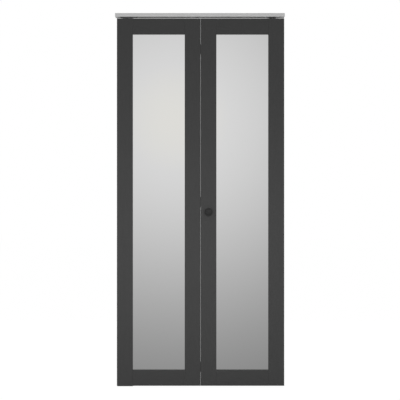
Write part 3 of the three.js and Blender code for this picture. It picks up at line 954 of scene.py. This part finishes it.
@dataclass(frozen=True)
class TrackSet:
    """The track over the opening and the bracket that is locked in it."""

    bend: Rounding = Rounding(1.4 * MM, segments=4)
    bend_zone: float = 0.8
    edge_rounding: Rounding = Rounding(0.2 * MM)
    widest_hole: float = 10 * MM
    place_digits: int = 5
    bracket_rounding: Rounding = Rounding(0.5 * MM)
    screw_rounding: Rounding = Rounding(0.3 * MM)

    def build(self) -> None:
        """Builds the track, the bracket and its screw."""
        self._track()
        # The bracket and its lock screw take the lighter steel, whose raised colour is painted
        # light.
        refine("top_pivot_bracket", BRACKET_STEEL_PAINTED_LIGHTER, self.bracket_rounding)
        refine("top_pivot_lock_screw", BRACKET_STEEL_PAINTED_LIGHTER, self.screw_rounding)

    def _track(self) -> None:
        """Bends the track's four outer corners round and eases its other edges."""
        low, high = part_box("top_track")
        middle_y = (high.y + low.y) / 2
        bend_from = (high.y - low.y) / 2 * self.bend_zone
        shape = merged_copy("top_track")
        self._cut_at_holes(shape)
        bends = [
            corner
            for corner in outer_corners(shape)
            if lies_along(corner, Axis.X)
            and abs(corner.verts[0].co.y - middle_y) > bend_from
        ]
        ease(shape, bends, self.bend)
        ease(shape, outer_corners(shape), self.edge_rounding)
        stand_in("top_track", TRACK_METAL, shape)

    def _cut_at_holes(self, shape: Shape) -> None:
        """Cuts faces straight across at each hole, so that no slanting edge spoils a bend.

        Args:
            shape: The track's mesh, which is changed.
        """
        places = set()
        for run in touching_runs(outer_corners(shape)):
            along = [vert.co.x for edge in run for vert in edge.verts]
            if max(along) - min(along) < self.widest_hole:
                places.add(round((max(along) + min(along)) / 2, self.place_digits))
        for place in sorted(places):
            bmesh.ops.bisect_plane(
                shape,
                geom=[*shape.verts, *shape.edges, *shape.faces],
                dist=WELD_DISTANCE,
                plane_co=(place, 0, 0),
                plane_no=(1, 0, 0),
            )
        slanting = [
            edge
            for edge in shape.edges
            if edge.calc_face_angle(math.pi) < FLAT_ANGLE
            and abs(edge.verts[0].co.x - edge.verts[1].co.x) > WELD_DISTANCE
        ]
        bmesh.ops.dissolve_edges(shape, edges=slanting, use_verts=True)


@dataclass(frozen=True)
class PinSpring:
    """The wound spring below a sprung pin, which closes up as the pin is pressed down."""

    node: str
    joint: str
    wire_radius: float = 0.45 * MM
    wire_sides: int = 12
    turns: int = 9
    closed_turns: int = 1
    closed_pitch: float = 0.95 * MM
    steps_per_turn: int = 32

    def build(self) -> None:
        """Winds the spring and gives it a mesh of its own; the share of its length that the
        pin's travel leaves is worked out but not used.
        """
        low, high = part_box(self.node)
        spring = stand_in(self.node, ZINC, self._wound(low, high))
        kept = 1 - self._travel() / (high.z - low.z)
        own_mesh(spring)

    def _wound(self, low: Vector, high: Vector) -> Shape:
        """Winds the wire, with its end turns closed.

        Args:
            low: The lowest corner of the spring's box.
            high: Its highest corner.

        Returns:
            The closed wire in the frame's axes.
        """
        middle = (low + high) / 2
        coil_radius = (high.x - low.x) / 2 - self.wire_radius
        climb = high.z - low.z - 2 * self.wire_radius
        open_turns = self.turns - 2 * self.closed_turns
        open_pitch = (climb - 2 * self.closed_turns * self.closed_pitch) / open_turns
        start = Vector((middle.x + coil_radius, middle.y, low.z + self.wire_radius))
        shape = bmesh.new()
        ring = bmesh.ops.create_circle(
            shape,
            cap_ends=False,
            radius=self.wire_radius,
            segments=self.wire_sides,
            matrix=Matrix.Translation(start) @ Matrix.Rotation(QUARTER_TURN, 4, "X"),
        )
        last = [*ring["verts"], *shape.edges]
        for turns, pitch in (
            (self.closed_turns, self.closed_pitch),
            (open_turns, open_pitch),
            (self.closed_turns, self.closed_pitch),
        ):
            wound = bmesh.ops.spin(
                shape,
                geom=last,
                cent=(middle.x, middle.y, 0),
                axis=UPWARD,
                dvec=UPWARD * pitch / self.steps_per_turn,
                angle=FULL_TURN * turns,
                steps=self.steps_per_turn * turns,
            )
            last = wound["geom_last"]
        bmesh.ops.holes_fill(shape, edges=shape.edges, sides=self.wire_sides)
        bmesh.ops.recalc_face_normals(shape, faces=shape.faces)
        return shape

    def _travel(self) -> float:
        """Returns how far the pin can be pressed."""
        return next(max(j["range_m"]) for j in FRAME["joints"] if j["name"] == self.joint)


@dataclass(frozen=True)
class PivotHardware:
    """Sleeves, pins, springs and shoe on the panels, and the bracket on the floor."""

    rounding: Rounding = Rounding(0.3 * MM)

    def build(self) -> None:
        """Builds the pieces above and below the panels."""
        for node in ("top_pivot_sleeve", "guide_sleeve", "bottom_pivot_insert"):
            refine(node, NYLON, self.rounding)
        # The guide shoe takes the lighter nylon, whose raised colour is painted light.
        refine("guide_shoe", SHOE_NYLON_PAINTED_LIGHTER, self.rounding)
        refine("bottom_pivot_socket", NYLON, self.rounding)
        refine("bottom_pivot_bracket", DARK_STEEL, self.rounding)
        for node in ("top_pivot_pin", "guide_pin", "bottom_pivot_pin", "bottom_pivot_nut"):
            refine(node, ZINC, self.rounding)
        PinSpring("top_pivot_spring", "top_pin_press").build()
        PinSpring("guide_spring", "guide_pin_press").build()


@dataclass(frozen=True)
class KnobSet:
    """The knob on its rose, and the bolt that holds it from behind."""

    rim: float = 3 * MM
    cove: float = 3 * MM
    head_height: float = 13 * MM
    dome: float = 2 * MM
    neck_radius: float = 7.5 * MM
    base_radius: float = 10 * MM
    rose_bevel: float = 1.5 * MM
    bore_radius: float = 2.5 * MM
    bore_depth: float = 14 * MM
    steps: int = 72
    bolt_rounding: Rounding = Rounding(0.3 * MM)

    def build(self) -> None:
        """Builds the rose, knob and bolt."""
        self._rose()
        self._knob()
        refine("knob_bolt", ZINC, self.bolt_rounding)

    @staticmethod
    def _reach(node: str) -> tuple[Vector, float, float]:
        """Measures a round node whose axis points into the room.

        Args:
            node: The node's name.

        Returns:
            The back of its axis, its radius and its length.
        """
        low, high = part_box(node)
        base = Vector(((low.x + high.x) / 2, high.y, (low.z + high.z) / 2))
        return base, (high.x - low.x) / 2, high.y - low.y

    def _rose(self) -> None:
        """Spins the round plate behind the knob."""
        base, radius, thickness = self._reach("knob_rose")
        bevel = self.rose_bevel
        profile = [
            (self.bore_radius, 0),
            (radius, 0),
            *arc((radius - bevel, thickness - bevel), bevel, OUTWARD, ONWARD),
            (self.bore_radius, thickness),
            (self.bore_radius, 0),
        ]
        stand_in("knob_rose", KNOB_BLACK, spun_shape(profile, base, self.steps))

    def _knob(self) -> None:
        """Spins the knob: a flared foot, a neck and a domed head with round edges."""
        base, radius, length = self._reach("knob")
        head_bottom = length - self.head_height
        flare = self.base_radius - self.neck_radius
        dome_edge = radius - self.rim
        dome_radius = (dome_edge**2 + self.dome**2) / (2 * self.dome)
        dome_start = ONWARD - math.degrees(math.asin(dome_edge / dome_radius))
        cove_height = head_bottom - self.cove
        profile = [
            (0, self.bore_depth),
            (self.bore_radius, self.bore_depth),
            (self.bore_radius, 0),
            (self.base_radius, 0),
            *arc((self.base_radius, flare), flare, BACKWARD, INWARD),
            *arc((self.neck_radius + self.cove, cove_height), self.cove, INWARD, ONWARD),
            *arc((dome_edge, head_bottom + self.rim), self.rim, BACKWARD, OUTWARD_AGAIN),
            *arc((dome_edge, length - self.dome - self.rim), self.rim, OUTWARD, dome_start),
            *arc((0, length - dome_radius), dome_radius, dome_start, ONWARD),
        ]
        stand_in("knob", KNOB_BLACK, spun_shape(profile, base, self.steps))


@dataclass(frozen=True)
class Viewpoint:
    """The camera, square to the door at the height of its middle."""

    eye_x: float = 0.5 * MM
    eye_height: float = 1003.5 * MM
    distance: float = 3400 * MM
    view_height: float = 2151.6 * MM

    def build(self) -> None:
        """Sets up the camera at its distance from the door's face."""
        data = bpy.data.cameras.new("camera")
        made = bpy.data.objects.new("camera", data)
        face_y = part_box("pivot_outer_stile")[0].y
        made.location = (self.eye_x, face_y - self.distance, self.eye_height)
        made.rotation_euler = (QUARTER_TURN, 0, 0)
        data.angle = 2 * math.atan(self.view_height / 2 / self.distance)
        bpy.context.scene.collection.objects.link(made)
        bpy.context.scene.camera = made
        LOG.info("camera at %.3f m from the door's face", self.distance)


@dataclass(frozen=True)
class Room:
    """The white room. Mirrors see a soft glow in it that fades downward and to the sides."""

    level_below: float = 0.25
    level_above: float = 0.45
    horizon: float = 0.5
    eye_distance: float = Viewpoint.distance
    glow_aside: float = -133 * MM
    glow_rise: float = 436 * MM
    glow_reach: float = 1160 * MM
    glow_floor: float = 0.13
    glow_level: float = 0.628
    core_from: float = 0.94
    core_gain: float = 0.02
    core_tint: Color = (1.0, 0.99, 0.95)
    side_from: float = 0.42
    side_to: float = 0.75
    side_below: float = 0.28
    side_above: float = 0.88
    side_horizon: float = 0.6
    side_slope: float = 1.4

    def build(self) -> None:
        """Makes the world, which is white to the camera and dimmer to the door."""
        world = bpy.data.worlds.new("studio")
        world.use_nodes = True
        bpy.context.scene.world = world
        graph = ShaderGraph(world.node_tree)
        heading = graph.node("ShaderNodeTexCoord", output="Generated")
        height = graph.node("ShaderNodeSeparateXYZ", {}, {0: heading}, "Z")
        upper = (height + self.horizon).clamped()
        plain = graph.blend(upper, gray(self.level_below), gray(self.level_above))
        mirrored = self._mirrored(graph, heading, height)
        lit = graph.blend(graph.ray(Ray.GLOSSY), plain, mirrored)
        open_view = (graph.ray(Ray.CAMERA) + graph.ray(Ray.TRANSMISSION)).clamped()
        seen = graph.blend(open_view, lit, gray(1.0))
        surface = graph.node("ShaderNodeBackground", {}, {"Color": seen, "Strength": 1.0})
        graph.node("ShaderNodeOutputWorld", {}, {"Surface": surface})

    def _mirrored(self, graph: ShaderGraph, heading: Signal, height: Signal) -> Signal:
        """Shapes what a mirror sees of the room.

        Args:
            graph: The world's graph.
            heading: The direction that a ray takes.
            height: How far that direction rises.

        Returns:
            The colour in that direction.
        """
        glow = Vector((self.glow_aside, -self.eye_distance, self.glow_rise)).normalized()
        ends = {0: heading, 1: tuple(glow)}
        away = graph.node("ShaderNodeVectorMath", {"operation": "DISTANCE"}, ends, "Value")
        fade = math.e ** ((away / (self.glow_reach / self.eye_distance)) ** 2.0 * -1.0)
        core = ((fade - self.core_from) / (1 - self.core_from)).clamped()
        glowing = self.glow_floor + self.glow_level * fade + self.core_gain * core
        rise = (height * self.side_slope + self.side_horizon).clamped()
        beside = self.side_below + rise * (self.side_above - self.side_below)
        aside = ((away - self.side_from) / (self.side_to - self.side_from)).clamped()
        level = glowing * (1 - aside) + beside * aside
        tint = graph.blend(core, gray(1.0), opaque(self.core_tint))
        scaled = {0: tint, "Scale": level}
        return graph.node("ShaderNodeVectorMath", {"operation": "SCALE"}, scaled)


@dataclass(frozen=True)
class Lamps:
    """Two large soft lamps, before and behind the door, that don't show in its mirrors."""

    size_across: float = 3600 * MM
    size_up: float = 1500 * MM
    aside: float = -250 * MM
    distance: float = 1800 * MM
    middle_height: float = 580 * MM
    front_power: float = 33.0
    back_power: float = 25.0

    def build(self) -> None:
        """Hangs both lamps."""
        self._lamp("front_lamp", ROOMWARD, self.front_power)
        self._lamp("back_lamp", -ROOMWARD, self.back_power)

    def _lamp(self, name: str, side: Vector, power: float) -> None:
        """Hangs one lamp that shines level at the door.

        Args:
            name: The lamp's name.
            side: The side of the door on which it hangs.
            power: Its power in watts.
        """
        data = bpy.data.lights.new(name, "AREA")
        data.shape = "RECTANGLE"
        data.size = self.size_across
        data.size_y = self.size_up
        data.energy = power
        lamp = bpy.data.objects.new(name, data)
        lamp.location = side * self.distance + UPWARD * self.middle_height
        lamp.location.x = self.aside
        lamp.rotation_euler = (-side).to_track_quat("-Z", "Y").to_euler()
        lamp.visible_glossy = False
        lamp.visible_camera = False
        bpy.context.scene.collection.objects.link(lamp)


@dataclass(frozen=True)
class Floor:
    """The pale floor, which keeps the door's faint shadow."""

    size: float = 24000 * MM
    color: Color = (0.5, 0.5, 0.5)
    glow_share: float = 0.88
    glow_strength: float = 1.105

    def build(self) -> None:
        """Lays the floor."""
        shape = bmesh.new()
        bmesh.ops.create_grid(shape, x_segments=1, y_segments=1, size=self.size / 2)
        mesh = bpy.data.meshes.new("floor")
        shape.to_mesh(mesh)
        shape.free()
        mesh.materials.append(self._material())
        floor = bpy.data.objects.new("floor", mesh)
        floor.visible_glossy = False
        bpy.context.scene.collection.objects.link(floor)

    def _material(self) -> bpy.types.Material:
        """Makes the floor as white to the camera as the room is.

        Returns:
            The new material.
        """
        made = bpy.data.materials.new("pale_floor")
        made.use_nodes = True
        graph = ShaderGraph(made.node_tree)
        matte = graph.node("ShaderNodeBsdfDiffuse", {}, {"Color": opaque(self.color)})
        white = {"Color": gray(1.0), "Strength": self.glow_strength}
        glow = graph.node("ShaderNodeEmission", {}, white)
        shares = {0: graph.ray(Ray.CAMERA) * self.glow_share, 1: matte, 2: glow}
        both = graph.node("ShaderNodeMixShader", {}, shares)
        graph.node("ShaderNodeOutputMaterial", {}, {"Surface": both})
        return made


def main() -> None:
    """Builds the studio and the door."""
    logging.basicConfig(level=logging.INFO, format="%(name)s: %(message)s")
    bpy.context.scene.view_settings.view_transform = "Standard"
    assemblies: tuple[Assembly, ...] = (
        Viewpoint(),
        Room(),
        Lamps(),
        Floor(),
        TrackSet(),
        PanelFrame(Panel.PIVOT),
        PanelFrame(Panel.LEAD),
        FoldHinges(),
        PivotHardware(),
        KnobSet(),
    )
    for assembly in assemblies:
        assembly.build()
        LOG.info("%s is done", type(assembly).__name__)


if __name__ == "__main__":
    main()
